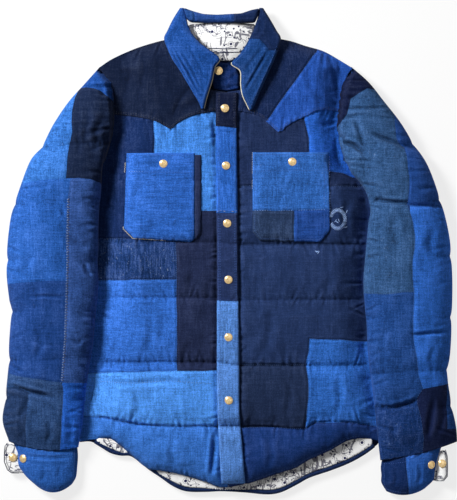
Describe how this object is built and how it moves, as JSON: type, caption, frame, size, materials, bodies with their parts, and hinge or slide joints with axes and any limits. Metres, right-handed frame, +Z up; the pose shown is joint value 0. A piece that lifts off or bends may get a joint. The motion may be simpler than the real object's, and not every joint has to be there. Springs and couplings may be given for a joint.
{
  "type": "patched boro jacket",
  "caption": "Quilted jacket of patched indigo cloth, laid flat with its snaps closed: shirt collar, pointed yokes, patch pockets and a curved, lined hem.",
  "frame": {"origin": "on the ground under the middle of the jacket's box", "axes": "+Z up from the surface it lies on; +Y towards the collar; +X towards the wearer's left"},
  "size_m": [0.7242, 0.7774, 0.0466],
  "materials": {
    "denim_blue": "matte, mottled hand-woven cotton",
    "denim_navy": "matte, mottled hand-woven cotton",
    "denim_light": "matte, mottled hand-woven cotton",
    "denim_slate": "matte, faded slubby cotton",
    "lining_print": "matte printed cotton",
    "snap_brass": "satin"
  },
  "bodies": {
    "root": {"back": "denim_blue", "front_right": "denim_blue", "front_left": "denim_blue", "yoke_right": "denim_navy", "yoke_left": "denim_navy", "sleeve_right": "denim_blue", "sleeve_left": "denim_slate", "cuff_right": "denim_blue", "cuff_left": "denim_navy", "cuff_facing_right": "lining_print", "cuff_facing_left": "lining_print", "placket": "denim_light", "pocket_right": "denim_blue", "pocket_tab_right": "denim_navy", "pocket_left": "denim_blue", "lining_hem_right": "lining_print", "lining_hem_left": "lining_print", "lining_neck": "lining_print", "collar_band": "denim_navy", "collar_back": "denim_blue", "collar_leaf_right": "denim_blue", "collar_leaf_left": "denim_blue", "snap_placket_1": "snap_brass", "snap_placket_2": "snap_brass", "snap_placket_3": "snap_brass", "snap_placket_4": "snap_brass", "snap_placket_5": "snap_brass", "snap_placket_6": "snap_brass", "snap_band": "snap_brass", "snap_cuff_right": "snap_brass", "snap_cuff_left": "snap_brass", "snap_pocket_right": "snap_brass", "snap_pocket_left": "snap_brass", "snap_facing_right": "snap_brass", "snap_facing_left": "snap_brass"}
  },
  "joints": []
}
